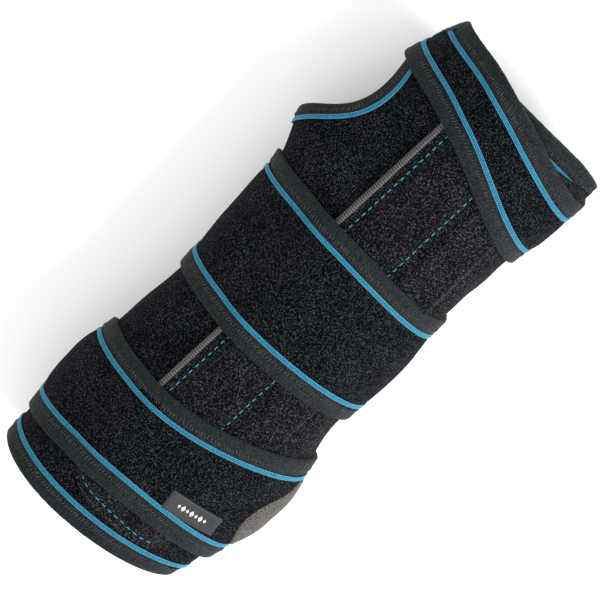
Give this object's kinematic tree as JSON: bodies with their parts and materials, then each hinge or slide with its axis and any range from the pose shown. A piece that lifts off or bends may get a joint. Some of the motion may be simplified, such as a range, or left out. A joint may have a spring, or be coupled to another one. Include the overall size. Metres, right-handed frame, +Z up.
{
  "type": "wrist splint",
  "caption": "Long fabric wrist and forearm splint with a thumb opening, removable metal stays and hook-and-loop closing straps.",
  "frame": {"origin": "middle of the bounding box, on the floor under the palm side", "axes": "+X towards the hand end, +Y towards the thumb side, +Z up through the back of the hand"},
  "size_m": [0.2548, 0.1092, 0.0786],
  "materials": {
    "fleece_black": "brushed fleece laminate",
    "binding_tape": "smooth stretch binding",
    "thread_turquoise": "cover stitch",
    "loop_pile": "loop pile",
    "grosgrain_tape": "ribbed tape",
    "hook_tape": "moulded hook tape",
    "label_satin": "satin",
    "stay_metal": "satin"
  },
  "bodies": {
    "sleeve": {"wrap_dorsal": "fleece_black", "wrap_palmar": "fleece_black", "forearm_end_binding": "binding_tape", "forearm_end_stitching": "thread_turquoise", "hand_end_binding": "binding_tape", "hand_end_stitching": "thread_turquoise", "thumb_binding": "binding_tape", "thumb_stitching": "thread_turquoise", "closure_binding_upper": "binding_tape", "closure_binding_lower": "binding_tape", "dorsal_pocket": "loop_pile", "pocket_tape": "grosgrain_tape", "landing_panel": "loop_pile", "palm_pocket": "fleece_black"},
    "forearm_strap": {"forearm_strap_panel": "fleece_black", "forearm_strap_binding_low": "binding_tape", "forearm_strap_binding_high": "binding_tape", "forearm_strap_stitching_low": "thread_turquoise", "forearm_strap_stitching_high": "thread_turquoise", "forearm_strap_hook_edge": "hook_tape", "strap_label": "label_satin"},
    "forearm_tab": {"forearm_strap_tab": "fleece_black", "forearm_strap_hook_patch": "hook_tape"},
    "wrist_strap": {"wrist_strap_panel": "fleece_black", "wrist_strap_binding_low": "binding_tape", "wrist_strap_binding_high": "binding_tape", "wrist_strap_stitching_low": "thread_turquoise", "wrist_strap_stitching_high": "thread_turquoise"},
    "wrist_tab": {"wrist_strap_tab": "fleece_black", "wrist_strap_hook_patch": "hook_tape"},
    "hand_strap": {"hand_strap_panel": "fleece_black", "hand_strap_binding_low": "binding_tape", "hand_strap_binding_high": "binding_tape", "hand_strap_stitching_low": "thread_turquoise", "hand_strap_stitching_high": "thread_turquoise"},
    "hand_tab": {"hand_strap_tab": "fleece_black", "hand_strap_hook_patch": "hook_tape"},
    "stay_radial": {"dorsal_stay_radial": "stay_metal"},
    "stay_ulnar": {"dorsal_stay_ulnar": "stay_metal"},
    "stay_palmar": {"palmar_stay": "stay_metal"}
  },
  "joints": [
    {"name": "forearm_strap_open", "type": "hinge", "parent": "sleeve", "child": "forearm_strap", "pos_m": [-0.05994, 0.04748, 0.02897], "axis": [-0.9996, -0.0135, 0.0253], "range_deg": [0, 40]},
    {"name": "forearm_tab_peel", "type": "hinge", "parent": "forearm_strap", "child": "forearm_tab", "pos_m": [-0.04294, -0.05502, 0.03507], "axis": [-0.9992, 0.0259, 0.032], "range_deg": [0, 140]},
    {"name": "wrist_strap_open", "type": "hinge", "parent": "sleeve", "child": "wrist_strap", "pos_m": [0.03636, 0.04836, 0.02654], "axis": [-0.9963, -0.0816, 0.0252], "range_deg": [0, 40]},
    {"name": "wrist_tab_peel", "type": "hinge", "parent": "wrist_strap", "child": "wrist_tab", "pos_m": [0.03386, -0.04829, 0.03261], "axis": [-0.9988, -0.0375, 0.032], "range_deg": [0, 140]},
    {"name": "hand_strap_open", "type": "hinge", "parent": "sleeve", "child": "hand_strap", "pos_m": [0.12556, 0.03824, 0.02428], "axis": [-0.9914, 0.1282, 0.0251], "range_deg": [0, 40]},
    {"name": "hand_tab_peel", "type": "hinge", "parent": "hand_strap", "child": "hand_tab", "pos_m": [0.10556, -0.05239, 0.03031], "axis": [-0.9993, 0.0212, 0.032], "range_deg": [0, 140]},
    {"name": "dorsal_stay_radial_slide", "type": "slide", "parent": "sleeve", "child": "stay_radial", "axis": [0.9977, -0.02, -0.0652], "range_m": [0, 0.2]},
    {"name": "dorsal_stay_ulnar_slide", "type": "slide", "parent": "sleeve", "child": "stay_ulnar", "axis": [0.9972, -0.0199, -0.0714], "range_m": [0, 0.2]},
    {"name": "palmar_stay_slide", "type": "slide", "parent": "sleeve", "child": "stay_palmar", "axis": [1, 0, 0], "range_m": [0, 0.145]}
  ],
  "couplings": [
    {"joint": "forearm_tab_peel", "follows": "forearm_strap_open", "ratio": 3.5},
    {"joint": "wrist_tab_peel", "follows": "wrist_strap_open", "ratio": 3.5},
    {"joint": "hand_tab_peel", "follows": "hand_strap_open", "ratio": 3.5}
  ]
}
